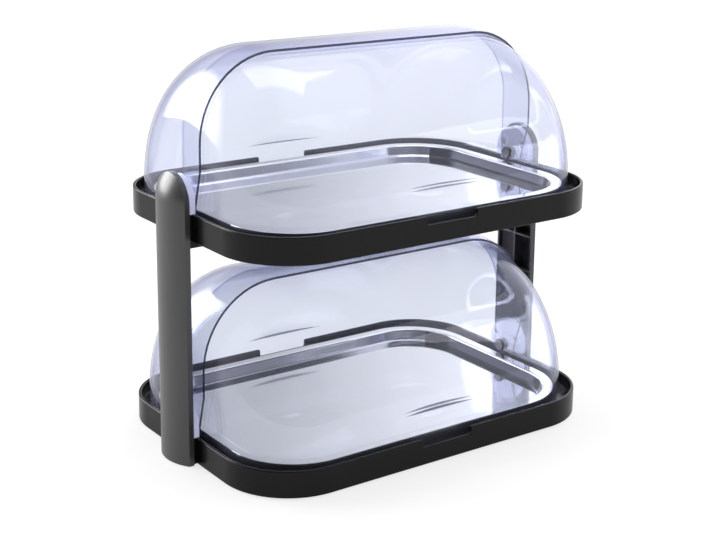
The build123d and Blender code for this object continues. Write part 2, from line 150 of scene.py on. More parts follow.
class Shade:
    # Wraps one socket of a node tree, so that sums on values read as plain Python.
    def __init__(self, tree, socket=None):
        self.tree = tree
        self.socket = socket

    def node(self, kind, settings=None, sockets=None, output=0):
        made = self.tree.nodes.new(kind)
        for name, value in (settings or {}).items():
            setattr(made, name, value)
        for name, value in (sockets or {}).items():
            if isinstance(value, Shade):
                self.tree.links.new(value.socket, made.inputs[name])
            elif made.inputs[name].type == "RGBA" and len(value) == 3:
                made.inputs[name].default_value = (*value, 1)
            else:
                made.inputs[name].default_value = value
        return Shade(self.tree, made.outputs[output])

    def sum(self, operation, first, second):
        return self.node("ShaderNodeMath", {"operation": operation}, {0: first, 1: second})

    def __add__(self, other):
        return self.sum("ADD", self, other)

    def __radd__(self, other):
        return self.sum("ADD", other, self)

    def __sub__(self, other):
        return self.sum("SUBTRACT", self, other)

    def __mul__(self, other):
        return self.sum("MULTIPLY", self, other)

    def __rmul__(self, other):
        return self.sum("MULTIPLY", other, self)

    def __pow__(self, other):
        return self.sum("POWER", self, other)

    def clamped(self):
        return self.node("ShaderNodeClamp", {}, {"Value": self})

    def blend(self, factor, first, second):
        return self.node(
            "ShaderNodeMix", {"data_type": "RGBA"}, {"Factor": factor, 6: first, 7: second}, 2
        )

    def place(self, stretch):
        coordinates = self.node("ShaderNodeTexCoord", output=3)
        return self.node("ShaderNodeMapping", {}, {"Vector": coordinates, "Scale": stretch})

    def noise(self, scale, detail, stretch=(1, 1, 1)):
        return self.node(
            "ShaderNodeTexNoise",
            {"noise_dimensions": "3D"},
            {"Vector": self.place(stretch), "Scale": scale, "Detail": detail, "Roughness": 0.5},
        )

    def between(self, value, span, results):
        return self.node("ShaderNodeMapRange", {"interpolation_type": "SMOOTHSTEP"}, {
            "Value": value,
            "From Min": span[0],
            "From Max": span[1],
            "To Min": results[0],
            "To Max": results[1],
        })

    def bump(self, height, strength, distance):
        return self.node(
            "ShaderNodeBump", {}, {"Height": height, "Strength": strength, "Distance": distance}
        )

    def facing(self):
        return self.node("ShaderNodeLayerWeight", {}, {"Blend": 0.5}, 1)


def startMaterial(name):
    material = bpy.data.materials.new(name)
    material.use_nodes = True
    tree = material.node_tree
    tree.nodes.clear()
    return material, Shade(tree)


def endMaterial(material, surface):
    tree = material.node_tree
    output = tree.nodes.new("ShaderNodeOutputMaterial")
    tree.links.new(surface.socket, output.inputs["Surface"])
    return material


# Materials

basePlastic = {
    "colour": (0.0030, 0.0030, 0.0034),
    "paleColour": (0.0050, 0.0050, 0.0055),
    "roughness": 0.20,
    "specular": 0.27,
    "grain": 2600,
}

postPlastic = {
    "colour": (0.034, 0.034, 0.035),
    "paleColour": (0.046, 0.046, 0.047),
    "roughness": 0.30,
    "specular": 1.0,
    "grain": 2300,
}

# Noise scales and their shares, the same on both moulded plastics
mouldTexture = {
    "patchScale": 18,
    "patchShare": 0.08,
    "scuffScale": 160,
    "scuffStretch": (1, 1, 0.2),
    "scuffShare": 0.04,
    "shinier": 0.05,
    "bump": 0.12,
    "bumpHeight": 0.05 * mm,
}

clearPlastic = {
    "nearTint": (0.953, 0.964, 0.993),
    "grazingTint": (0.80, 0.812, 0.945),
    "rimTint": (0.42, 0.42, 0.52),
    "grazingPower": 3,
    "rimPower": 14,
    "mirrorColour": (0.9, 0.9, 1.0),
    "mirrorPower": 5,
    "mirrorAtFront": 0.03,
    "hazeColour": (0.80, 0.82, 0.98),
    "haze": 0.055,
    "roughness": 0.02,
    "rippleScale": 26,
    "rippleHeight": 0.6 * mm,
    # The cut edges and grip ledges are drawn as near-solid dark navy: partly the plastic's own tint
    # along its length, partly painted shade. The front cover's edge uses a much fainter copy of this
    # painted shade.
    "edgeColour": (0.020, 0.018, 0.060),
    "edgeSolid": 0.90,
    "innerEdgeSolid": 0.16,
    "ledgeSolid": 0.80,
    # The hinge plates' lavender is the plastic's own tint; their paleness, near-solid body and faint
    # glow are painted light.
    "fittingTint": (0.80, 0.81, 0.95),
    "fittingColour": (0.76, 0.77, 0.94),
    "fittingPaleColour": (0.86, 0.87, 0.98),
    "fittingGlowColour": (0.66, 0.67, 0.86),
    "fittingSolid": 0.78,
    "fittingGlow": 0.24,
}

steel = {
    "colour": (0.96, 0.955, 0.95),
    "dullColour": (0.90, 0.90, 0.905),
    # The walls get a darker, bluer copy of the same steel: painted shade.
    "wallShadeColour": (0.78, 0.78, 0.84),
    "wallShadeDullColour": (0.62, 0.62, 0.68),
    "roughness": 0.06,
    "wallRoughness": 0.16,
    # A near-black copy of the steel for the walls at the right end: a painted dark reflection.
    "paintedShadeColour": (0.030, 0.030, 0.038),
    "paintedShadeDullColour": (0.022, 0.022, 0.029),
    "rollingLines": 420,
}

smallParts = {
    # Screw and pin steel is near black, far darker than bare steel, so that it shows no reflection of
    # the glow: painted shade.
    "screwColour": (0.032, 0.032, 0.038),
    "screwPaleColour": (0.048, 0.048, 0.055),
    "rubberColour": (0.018, 0.018, 0.018),
    "rubberDustColour": (0.035, 0.034, 0.033),
    "nylonColour": (0.30, 0.30, 0.36),
    "nylonPaleColour": (0.38, 0.38, 0.44),
    "packColour": (0.42, 0.62, 0.80),
    "packPaleColour": (0.62, 0.78, 0.90),
}


def makeMouldedPlastic(name, look):
    material, s = startMaterial(name)
    texture = mouldTexture
    patches = s.noise(texture["patchScale"], 3)
    grain = s.noise(look["grain"], 2)
    scuffs = s.noise(texture["scuffScale"], 4, texture["scuffStretch"])
    wear = texture["patchShare"] * patches + texture["scuffShare"] * scuffs
    roughness = (look["roughness"] - texture["shinier"] + wear).clamped()
    return endMaterial(material, s.node("ShaderNodeBsdfPrincipled", {}, {
        "Base Color": s.blend(patches, look["colour"], look["paleColour"]),
        "Roughness": roughness,
        "Specular IOR Level": look["specular"],
        "Normal": s.bump(grain, texture["bump"], texture["bumpHeight"]),
    }))


def makeClearPlastic():
    look = clearPlastic
    material, s = startMaterial("clearPlastic")
    facing = s.facing()
    straight = s.node("ShaderNodeBsdfTransparent", {}, {"Color": look["nearTint"]})
    grazing = s.node("ShaderNodeBsdfTransparent", {}, {"Color": look["grazingTint"]})
    outline = s.node("ShaderNodeBsdfTransparent", {}, {"Color": look["rimTint"]})
    through = s.node("ShaderNodeMixShader", {}, {
        0: facing ** look["grazingPower"], 1: straight, 2: grazing,
    })
    through = s.node("ShaderNodeMixShader", {}, {
        0: facing ** look["rimPower"], 1: through, 2: outline,
    })
    haze = s.node("ShaderNodeBsdfDiffuse", {}, {"Color": look["hazeColour"]})
    through = s.node("ShaderNodeMixShader", {}, {0: look["haze"], 1: through, 2: haze})
    ripple = s.noise(look["rippleScale"], 1)
    mirror = s.node("ShaderNodeBsdfPrincipled", {}, {
        "Base Color": look["mirrorColour"],
        "Metallic": 1.0,
        "Roughness": look["roughness"],
        "Normal": s.bump(ripple, 0.05, look["rippleHeight"]),
    })
    share = look["mirrorAtFront"] + (1 - look["mirrorAtFront"]) * facing ** look["mirrorPower"]
    return endMaterial(material, s.node("ShaderNodeMixShader", {}, {0: share, 1: through, 2: mirror}))


# Near-solid dark edge: partly the plastic's own tint, partly painted shade.
def makeClearEdge(name, solid):
    look = clearPlastic
    material, s = startMaterial(name)
    through = s.node("ShaderNodeBsdfTransparent", {}, {"Color": look["grazingTint"]})
    mottle = s.noise(220, 2)
    body = s.node("ShaderNodeBsdfPrincipled", {}, {
        "Base Color": look["edgeColour"],
        "Roughness": 0.12 + 0.1 * mottle,
        "Specular IOR Level": 0.6,
    })
    return endMaterial(material, s.node("ShaderNodeMixShader", {}, {0: solid, 1: through, 2: body}))


def makeClearFitting():
    look = clearPlastic
    material, s = startMaterial("clearFitting")
    facing = s.facing()
    through = s.node("ShaderNodeBsdfTransparent", {}, {"Color": look["fittingTint"]})
    mottle = s.noise(160, 2)
    # The emission is a painted glow: the plate is no lamp.
    body = s.node("ShaderNodeBsdfPrincipled", {}, {
        "Base Color": s.blend(mottle, look["fittingColour"], look["fittingPaleColour"]),
        "Roughness": 0.10 + 0.08 * mottle,
        "Specular IOR Level": 0.5,
        "Emission Color": look["fittingGlowColour"],
        "Emission Strength": look["fittingGlow"],
    })
    share = (look["fittingSolid"] + 0.5 * facing ** 3).clamped()
    return endMaterial(material, s.node("ShaderNodeMixShader", {}, {0: share, 1: through, 2: body}))


def makeSteel(name, colour, dullColour, roughness):
    look = steel
    material, s = startMaterial(name)
    lines = s.noise(look["rollingLines"], 3, (0.02, 1, 1))
    smears = s.noise(11, 3)
    return endMaterial(material, s.node("ShaderNodeBsdfPrincipled", {}, {
        "Base Color": s.blend(0.6 * smears + 0.4 * lines, dullColour, colour),
        "Metallic": 1.0,
        "Roughness": (roughness - 0.03 + 0.05 * smears + 0.04 * lines).clamped(),
        "Normal": s.bump(lines, 0.05, 0.02 * mm),
    }))


def makeScrewSteel():
    material, s = startMaterial("screwSteel")
    wear = s.noise(900, 3)
    return endMaterial(material, s.node("ShaderNodeBsdfPrincipled", {}, {
        "Base Color": s.blend(wear, smallParts["screwColour"], smallParts["screwPaleColour"]),
        "Metallic": 1.0,
        "Roughness": 0.22 + 0.15 * wear,
    }))


def makeRubber():
    material, s = startMaterial("rubber")
    dust = s.noise(340, 4)
    return endMaterial(material, s.node("ShaderNodeBsdfPrincipled", {}, {
        "Base Color": s.blend(dust, smallParts["rubberColour"], smallParts["rubberDustColour"]),
        "Roughness": 0.75 + 0.15 * dust,
        "Specular IOR Level": 0.2,
        "Normal": s.bump(s.noise(3000, 2), 0.2, 0.05 * mm),
    }))


def makeNylon():
    material, s = startMaterial("nylon")
    cloud = s.noise(260, 3)
    return endMaterial(material, s.node("ShaderNodeBsdfPrincipled", {}, {
        "Base Color": s.blend(cloud, smallParts["nylonColour"], smallParts["nylonPaleColour"]),
        "Roughness": 0.42 + 0.1 * cloud,
    }))


def makeIcePack():
    material, s = startMaterial("icePack")
    gel = s.noise(45, 4)
    frost = s.noise(700, 3)
    return endMaterial(material, s.node("ShaderNodeBsdfPrincipled", {}, {
        "Base Color": s.blend(gel, smallParts["packColour"], smallParts["packPaleColour"]),
        "Roughness": 0.3 + 0.25 * frost,
        "Normal": s.bump(frost, 0.15, 0.1 * mm),
    }))


def makeFloorMaterial():
    material, s = startMaterial("studioFloor")
    paper = s.node("ShaderNodeBsdfDiffuse", {}, {"Color": studio["floorColour"]})
    seen = s.node("ShaderNodeLightPath", output=0)
    faint, full = studio["floorGlowReflected"], studio["floorGlow"]
    strength = faint + (full - faint) * seen
    glow = s.node("ShaderNodeEmission", {}, {"Color": (1, 1, 1), "Strength": strength})
    return endMaterial(material, s.node("ShaderNodeAddShader", {}, {0: paper, 1: glow}))


materials = {
    "basePlastic": makeMouldedPlastic("basePlastic", basePlastic),
    "postPlastic": makeMouldedPlastic("postPlastic", postPlastic),
    "clear": makeClearPlastic(),
    "clearEdge": makeClearEdge("clearPlasticEdge", clearPlastic["edgeSolid"]),
    "clearInnerEdge": makeClearEdge("clearPlasticInnerEdge", clearPlastic["innerEdgeSolid"]),
    "clearLedge": makeClearEdge("clearPlasticLedge", clearPlastic["ledgeSolid"]),
    "clearFitting": makeClearFitting(),
    "steel": makeSteel("traySteel", steel["colour"], steel["dullColour"], steel["roughness"]),
    # A darker copy of the tray steel for its walls: painted shade.
    "steelWallShade": makeSteel(
        "traySteelWallShade", steel["wallShadeColour"], steel["wallShadeDullColour"], steel["wallRoughness"]
    ),
    # A near-black copy of the tray steel for its right-hand walls: painted dark reflection.
    "steelPaintedShade": makeSteel(
        "traySteelPaintedShade", steel["paintedShadeColour"], steel["paintedShadeDullColour"], steel["wallRoughness"]
    ),
    "screw": makeScrewSteel(),
    "rubber": makeRubber(),
    "nylon": makeNylon(),
    "icePack": makeIcePack(),
}
print("materials made:", len(materials))


# Studio

def makeStudio():
    size = studio["floorSize"]
    mesh = bpy.data.meshes.new("studioFloor")
    corners = [(-size, -size, 0), (size, -size, 0), (size, size, 0), (-size, size, 0)]
    mesh.from_pydata(corners, [], [(0, 1, 2, 3)])
    mesh.materials.append(makeFloorMaterial())
    floor = bpy.data.objects.new("studioFloor", mesh)
    bpy.context.scene.collection.objects.link(floor)

    world = bpy.data.worlds.new("studioWorld")
    world.use_nodes = True
    bpy.context.scene.world = world
    tree = world.node_tree
    tree.nodes.clear()
    s = Shade(tree)
    direction = s.node("ShaderNodeTexCoord", output=0)

    def along(heading):
        return s.node("ShaderNodeVectorMath", {"operation": "DOT_PRODUCT"}, {
            0: direction,
            1: studio[heading],
        }, 1)

    away = s.between(
        along("brightFrom"), studio["brightSpan"], (studio["darkSide"], studio["brightSide"])
    )
    across = s.between(
        along("rightward"), studio["rightSpan"], (studio["leftShare"], studio["rightShare"])
    )
    glow = s.between(along("glowToward"), studio["glowSpan"], (0.0, studio["glowStrength"]))
    lit = away * across + glow
    seen = s.node("ShaderNodeLightPath", output=0)
    around = s.node("ShaderNodeBackground", {}, {"Color": (1, 1, 1), "Strength": lit})
    behind = s.node("ShaderNodeBackground", {}, {"Color": (1, 1, 1), "Strength": 1.0})
    both = s.node("ShaderNodeMixShader", {}, {0: seen, 1: around, 2: behind})
    output = tree.nodes.new("ShaderNodeOutputWorld")
    tree.links.new(both.socket, output.inputs["Surface"])

    for name, box in softboxes.items():
        makeLamp(name, box["place"], box["aim"], box["size"], box["power"])
    bpy.context.scene.view_settings.view_transform = "Standard"


makeCamera()
makeStudio()
print("camera and studio made")


# Mesh helpers

weldDistance = 0.005 * mm
tolerance = 0.01 * mm
arcSteps = 4


def makePiece(name, vertices, faces, finish, body, replaced, smoothAngle, faceFinish=None):
    mesh = bpy.data.meshes.new(name)
    mesh.from_pydata(vertices, [], faces)
    for entry in finish:
        mesh.materials.append(materials[entry])
    if faceFinish:
        for polygon, index in zip(mesh.polygons, faceFinish):
            polygon.material_index = index
    work = bmesh.new()
    work.from_mesh(mesh)
    bmesh.ops.remove_doubles(work, verts=work.verts, dist=weldDistance)
    bmesh.ops.recalc_face_normals(work, faces=work.faces)
    work.to_mesh(mesh)
    work.free()
    mesh.shade_smooth()
    mesh.set_sharp_from_angle(angle=math.radians(smoothAngle))
    piece = bpy.data.objects.new(name, mesh)
    bpy.context.scene.collection.objects.link(piece)
    settle(piece, body, replaced)
    weighNormals(piece)


def settle(piece, body, replaced):
    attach(piece, body)
    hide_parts(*replaced)


def weighNormals(piece):
    weigh = piece.modifiers.new("weighNormals", "WEIGHTED_NORMAL")
    weigh.mode = "FACE_AREA"
    weigh.keep_sharp = True
    bakeModifiers(piece)


def bakeModifiers(piece):
    bpy.context.view_layer.update()
    shown = piece.evaluated_get(bpy.context.evaluated_depsgraph_get())
    mesh = bpy.data.meshes.new_from_object(shown)
    piece.modifiers.clear()
    piece.data = mesh


def stitch(faces, first, second, closed=True):
    count = len(first)
    for i in range(count if closed else count - 1):
        j = (i + 1) % count
        faces.append((first[i], first[j], second[j], second[i]))


def roundCorners(points, radius, steps=arcSteps):
    # Replaces each inner corner of an open outline by an arc, smaller where a side is short.
    rounded = [points[0]]
    for before, corner, after in zip(points, points[1:], points[2:]):
        here = Vector(corner)
        back = (Vector(before) - here).normalized()
        ahead = (Vector(after) - here).normalized()
        half = back.angle(ahead) / 2
        reach = min(radius / math.tan(half), (Vector(before) - here).length / 2,
                    (Vector(after) - here).length / 2)
        size = reach * math.tan(half)
        middle = here + (back + ahead).normalized() * (size / math.sin(half))
        start = here + back * reach - middle
        end = here + ahead * reach - middle
        turn = start.angle_signed(end)
        for i in range(steps + 1):
            angle = -turn * i / steps
            rounded.append((
                middle.x + start.x * math.cos(angle) - start.y * math.sin(angle),
                middle.y + start.x * math.sin(angle) + start.y * math.cos(angle),
            ))
    rounded.append(points[-1])
    return rounded


# Bases and trays: outlines swept round a rounded rectangle

baseLook = {
    "corner": 76 * mm,
    "cornerSteps": 22,
    "wall": 3.5 * mm,
    "gutterFloor": 14 * mm,
    "gutterUnderside": 11.5 * mm,
    "ledgeInset": 16.5 * mm,
    "ledgeWall": 2.5 * mm,
    "ledgeHeight": 24.6 * mm,
    "ledgeCorner": 74 * mm,
    "panFloor": 2.5 * mm,
    "panLap": 12 * mm,
    "edgeRound": 1.1 * mm,
    "notchWidth": 64 * mm,
    "notchDepth": 8.5 * mm,
    "notchRound": 3 * mm,
    "notchLipRound": 1.2 * mm,
    "notchMargin": 1 * mm,
    "smoothAngle": 50,
}

trayLook = {
    "flangeInset": 17 * mm,
    "flangeCorner": 73.5 * mm,
    "flange": 12 * mm,
    "slope": 4 * mm,
    "sheet": 1 * mm,
    "flangeTop": 25.8 * mm,
    "floorTop": 14 * mm,
    "floorLap": 14 * mm,
    "bendRound": 3.2 * mm,
    "edgeRound": 0.45 * mm,
    "edgeSteps": 3,
    "wallHead": 1.6 * mm,
    "wallFoot": 0.3 * mm,
    "paintedShadeReach": 22 * mm,
    "smoothAngle": 50,
}

baseLow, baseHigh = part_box("lower_base")
baseHalfWidth = baseHigh.x
baseHalfDepth = baseHigh.y
rimHeight = baseHigh.z - baseLow.z
tierLevel = {tier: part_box(tier + "_base")[0].z for tier in tiers}


def notchStations():
    # Places along the front rim where a finger notch turns, with how deep the rim is cut there.
    look = baseLook
    half, depth = look["notchWidth"] / 2, look["notchDepth"]
    foot, lip = look["notchRound"], look["notchLipRound"]
    turns = [math.radians(90 * i / arcSteps) for i in range(arcSteps + 1)]
    outer = [(half + lip * (1 - math.sin(a)), lip * (1 - math.cos(a))) for a in turns]
    inner = [(half - foot * (1 - math.cos(a)), depth - foot * (1 - math.sin(a))) for a in turns]
    right = list(reversed(inner)) + list(reversed(outer))
    return [(-x, cut) for x, cut in reversed(right)] + right


def ring(inset, corner, height, stations=(), cut=0.0):
    # One closed loop of a rounded rectangle; the rim's notches lower it by up to cut.
    centreX = baseHalfWidth - inset - corner
    centreY = baseHalfDepth - inset - corner
    steps = baseLook["cornerSteps"]
    loop = [(x, inset - baseHalfDepth, height - drop * cut) for x, drop in stations]
    for turn, (sx, sy) in enumerate(((1, -1), (1, 1), (-1, 1), (-1, -1))):
        for i in range(steps + 1):
            angle = math.radians(-90 + 90 * turn + 90 * i / steps)
            loop.append((
                sx * centreX + corner * math.cos(angle),
                sy * centreY + corner * math.sin(angle),
                height,
            ))
        if turn == 1:
            loop += [(-x, baseHalfDepth - inset, height - drop * cut) for x, drop in stations]
    return loop


def sweepRings(rings):
    vertices = [point for loop in rings for point in loop]
    count = len(rings[0])
    faces = [tuple(reversed(range(count)))]
    for k in range(len(rings) - 1):
        stitch(faces, range(k * count, (k + 1) * count), range((k + 1) * count, (k + 2) * count))
    faces.append(tuple(range((len(rings) - 1) * count, len(rings) * count)))
    return vertices, faces


def makeBase(tier):
    look = baseLook
    level = tierLevel[tier]
    wall, ledge, inner = look["wall"], look["ledgeInset"], look["ledgeInset"] + look["ledgeWall"]
    outline = [
        (ledge + look["panLap"], 0),
        (ledge, 0),
        (ledge, look["gutterUnderside"]),
        (wall, look["gutterUnderside"]),
        (wall, 0),
        (0, 0),
        (0, rimHeight),
        (wall, rimHeight),
        (wall, look["gutterFloor"]),
        (ledge, look["gutterFloor"]),
        (ledge, look["ledgeHeight"]),
        (inner, look["ledgeHeight"]),
        (inner, look["panFloor"]),
        (inner + look["panLap"], look["panFloor"]),
    ]
    stations = notchStations()
    rimFoot = rimHeight - look["notchDepth"] - look["notchMargin"]
    rings = []
    for inset, height in roundCorners(outline, look["edgeRound"]):
        nearRim = inset <= wall + tolerance
        corner = look["corner"] - inset if nearRim else look["ledgeCorner"] - (inset - ledge)
        if ledge > inset > wall:
            share = (inset - wall) / (ledge - wall)
            corner = (1 - share) * (look["corner"] - wall) + share * look["ledgeCorner"]
        cut = 1.0 if nearRim and height > rimFoot else 0.0
        rings.append(ring(inset, corner, level + height, stations, cut))
    vertices, faces = sweepRings(rings)
    makePiece(f"{tier}_base_shell", vertices, faces, ["basePlastic"], "stand",
              [f"{tier}_base"], look["smoothAngle"])


def makeTray(tier):
    look = trayLook
    level = tierLevel[tier]
    mouth = look["flangeInset"] + look["flange"]
    foot = mouth + look["slope"]
    sheet = look["sheet"]
    outline = [
        (foot + look["floorLap"], look["floorTop"] - sheet),
        (foot - sheet, look["floorTop"] - sheet),
        (mouth - sheet, look["flangeTop"] - sheet),
        (look["flangeInset"], look["flangeTop"] - sheet),
        (look["flangeInset"], look["flangeTop"]),
        (mouth, look["flangeTop"]),
        (foot, look["floorTop"]),
        (foot + look["floorLap"], look["floorTop"]),
    ]
    # The flange's own rounding takes the place of the bend at both of its corners.
    lower = roundCorners(outline[:4], look["bendRound"])[:-1]
    upper = roundCorners(outline[4:], look["bendRound"])[1:]
    edge = roundCorners(outline[2:6], look["edgeRound"], look["edgeSteps"])[1:-1]
    section = lower + edge + upper
    rings = []
    for inset, height in section:
        corner = look["flangeCorner"] - (inset - look["flangeInset"])
        rings.append(ring(inset, corner, level + height))
    vertices, faces = sweepRings(rings)
    # Wall faces take the darker wall steel (painted shade), and those near the right end the
    # near-black copy (painted dark reflection).
    kinds = [0]
    paintedShadeFrom = baseHalfWidth - foot - look["paintedShadeReach"]
    walls = [2 if x > paintedShadeFrom else 1 for x, _, _ in rings[0]]
    for one, other in zip(section, section[1:]):
        middle = (one[1] + other[1]) / 2
        onWall = look["floorTop"] + look["wallFoot"] < middle < look["flangeTop"] - look["wallHead"]
        kinds += walls if onWall else [0] * len(walls)
    kinds.append(0)
    makePiece(f"{tier}_tray_pressing", vertices, faces, ["steel", "steelWallShade", "steelPaintedShade"],
              f"{tier}_tray", [f"{tier}_tray"], look["smoothAngle"], kinds)


for tier in tiers:
    makeBase(tier)
    makeTray(tier)
print("bases and trays made")


# Roll-top covers: shells turned about the pivot axis, cut by planes where they open

coverLook = {
    "axisHeight": 34 * mm,
    "radius": 153 * mm,
    "halfWidth": 213.5 * mm,
    "corner": 85 * mm,
    "wall": 2.5 * mm,
    "nestStep": 3.5 * mm,
    "drop": 19.5 * mm,
    "pinHole": 4.05 * mm,
    "cornerSteps": 14,
    "barrelSteps": 34,
    "turnSteps": 44,
    "gripSteps": 5,
    "hubSteps": 24,
    "hubFootSteps": 6,
    "holeStep": 15,
    "panelRings": (24 * mm, 30 * mm, 38 * mm),
    "outerPanelRing": 57 * mm,
    "frontOverlap": 10 * mm,
    "rearOverlap": 30 * mm,
    "rearShoulder": 37 * mm,
    "gripWidth": 96 * mm,
    "gripDepth": 7 * mm,
    "gripLow": 9 * mm,
    "gripHigh": 18 * mm,
    "smoothAngle": 40,
}


def gripRadius():
    half, depth = coverLook["gripWidth"] / 2, coverLook["gripDepth"]
    return (half * half + depth * depth) / (2 * depth)


def coverEndAngle(half, radius):
    # Angle, counted up from level on the cover's own side, at which its free edge cuts this radius.
    look = coverLook
    if half == "front":
        return math.acos(-look["frontOverlap"] / radius)
    over, shoulder, drop = look["rearOverlap"], look["rearShoulder"], look["drop"]
    if radius >= math.hypot(over, shoulder):
        return math.acos(-over / radius)
    run = over - drop
    a, b, c = run * run + shoulder * shoulder, 2 * run * drop, drop * drop - radius * radius
    share = max(0.0, (-b + math.sqrt(max(0.0, b * b - 4 * a * c))) / (2 * a))
    return math.atan2(shoulder * share, -(drop + run * share))


def coverProfile(inset):
    # Points (x, radius) from the left end panel's middle, over the barrel, to the right one's.
    look = coverLook
    radius, half, corner = look["radius"] - inset, look["halfWidth"] - inset, look["corner"] - inset
    flat = radius - corner
    turn = math.hypot(look["rearOverlap"], look["rearShoulder"])
    rings = [look["drop"], *look["panelRings"], turn, look["outerPanelRing"]]
    side = [(half, r) for r in rings]
    for i in range(look["cornerSteps"] + 1):
        angle = math.radians(90 * i / look["cornerSteps"])
        side.append((half - corner + corner * math.cos(angle), flat + corner * math.sin(angle)))
    span = half - corner
    steps = look["barrelSteps"]
    barrel = [(span * (2 * i / steps - 1), radius) for i in range(1, steps)]
    return [(-x, r) for x, r in side] + barrel + list(reversed(side))


def coverLevels(half, wallSide, inset):
    # Angles at the barrel, with the grip's own rows let in; the second value marks pushed-out rows.
    look = coverLook
    radius = look["radius"] - inset
    start = math.asin(-look["drop"] / radius)
    end = coverEndAngle(half, radius)
    low, high = look["gripLow"], look["gripHigh"]
    if half == "front" and wallSide == "inner":
        low, high = low - look["wall"], high + look["wall"]
    steps = look["gripSteps"]
    foot, first = math.asin(low / radius), math.asin(high / radius)
    rows = [(start + (foot - start) * i / steps, False) for i in range(steps)]
    grip = [(math.asin((low + (high - low) * i / steps) / radius), True) for i in range(steps + 1)]
    rows += [(foot, False)] + grip if half == "rear" else grip + [(first, False)]
    rows += [
        (first + (end - first) * i / look["turnSteps"], False) for i in range(1, look["turnSteps"] + 1)
    ]
    return rows


def gripReach(half, wallSide, x, height):
    # How far from the axis the grip's cone puts the wall at this place.
    look = coverLook
    big = gripRadius()
    rise = (height - look["gripLow"]) / (look["gripHigh"] - look["gripLow"])
    if half == "rear":
        if wallSide == "inner":
            return 0.0
        cone = big - look["gripDepth"] * rise
        return math.sqrt(max(0.0, cone * cone - x * x)) + look["radius"] + look["gripDepth"] - big
    centre = look["radius"] - look["nestStep"] + big - look["gripDepth"]
    cone = big - look["gripDepth"] * (1 - rise)
    if wallSide == "inner":
        wall = look["wall"]
        rise = (height - look["gripLow"] + wall) / (look["gripHigh"] - look["gripLow"] + 2 * wall)
        cone = big + wall - look["gripDepth"] * (1 - rise)
    return centre - math.sqrt(max(0.0, cone * cone - x * x))


def coverSkin(half, wallSide, inset):
    rows = coverLevels(half, wallSide, inset)
    radius = coverLook["radius"] - inset
    start, end = rows[0][0], rows[-1][0]
    grid = []
    for x, r in coverProfile(inset):
        low = math.asin(-coverLook["drop"] / r)
        high = coverEndAngle(half, r)
        line = []
        for angle, pushed in rows:
            here = low + (high - low) * (angle - start) / (end - start)
            across, up = r * math.cos(here), r * math.sin(here)
            if pushed and r > radius - tolerance:
                reach = gripReach(half, wallSide, x, up)
                across = max(across, reach) if half == "rear" else min(across, reach)
            line.append((x, across, up))
        grid.append(line)
    return grid


def coverHub(half, x):
    # Outline of the end panel's middle with its pin hole, as (x, across, up) loops.
    look = coverLook
    end = math.degrees(coverEndAngle(half, look["drop"]))
    steps, footSteps = look["hubSteps"], look["hubFootSteps"]
    turns = [-90 + (end + 90) * i / steps for i in range(steps + 1)]
    if half == "front":
        foot = 360 - end
        turns += [foot + (270 - foot) * i / footSteps for i in range(footSteps)]
    else:
        turns += [180 + 90 * i / footSteps for i in range(1, footSteps)]

    def circle(radius, angles):
        return [
            (x, radius * math.cos(math.radians(a)), radius * math.sin(math.radians(a))) for a in angles
        ]

    return circle(look["drop"], turns), circle(look["pinHole"], range(0, 360, look["holeStep"]))


def makeCover(tier, half):
    look = coverLook
    axisLevel = tierLevel[tier] + look["axisHeight"]
    outerInset = look["nestStep"] if half == "front" else 0.0
    outer = coverSkin(half, "outer", outerInset)
    inner = coverSkin(half, "inner", outerInset + look["wall"])
    vertices, faces, kinds = [], [], []

    def addLoop(points):
        first = len(vertices)
        vertices.extend(points)
        return list(range(first, first + len(points)))

    skins = []
    ledgeRow = look["gripSteps"] * (1 if half == "rear" else 2)
    for grid in (outer, inner):
        lines = [addLoop(line) for line in grid]
        for one, other in zip(lines, lines[1:]):
            stitch(faces, one, other, closed=False)
            kinds += [2 if row == ledgeRow else 0 for row in range(len(one) - 1)]
        skins.append(lines)
    outerLines, innerLines = skins
    for row in (0, -1):
        ends = [[line[row] for line in lines] for lines in (outerLines, innerLines)]
        stitch(faces, *ends, closed=False)
    kinds += [1] * (len(faces) - len(kinds))
    for side in (-1, 1):
        loops = [coverHub(half, side * (look["halfWidth"] - outerInset - depth))
                 for depth in (0.0, look["wall"])]
        for rim, hole in loops:
            marks = addLoop(rim) + addLoop(hole)
            flat = [[Vector((0, u, v)) for _, u, v in rim], [Vector((0, u, v)) for _, u, v in hole]]
            faces += [tuple(marks[i] for i in corner) for corner in tessellate_polygon(flat)]
        kinds += [0] * (len(faces) - len(kinds))
        (outerRim, outerHole), (innerRim, innerHole) = loops
        below = look["hubSteps"]
        outerFoot, innerFoot = outerRim[below:] + outerRim[:1], innerRim[below:] + innerRim[:1]
        stitch(faces, addLoop(outerFoot), addLoop(innerFoot), closed=False)
        stitch(faces, addLoop(outerHole), addLoop(innerHole))
        kinds += [1] * (len(faces) - len(kinds))
    sign = 1 if half == "rear" else -1
    placed = [(x, sign * across, axisLevel + up) for x, across, up in vertices]
    # The front cover's edge takes the fainter copy of the painted edge shade.
    edge = "clearEdge" if half == "rear" else "clearInnerEdge"
    makePiece(f"{tier}_{half}_cover_shell", placed, faces, ["clear", edge, "clearLedge"],
              f"{tier}_{half}_cover", [f"{tier}_{half}_cover"],
              look["smoothAngle"], kinds)


for tier in tiers:
    makeCover(tier, "front")
    makeCover(tier, "rear")
print("covers made")


# Posts and fittings: welded copies of the nodes with their sharp edges rounded

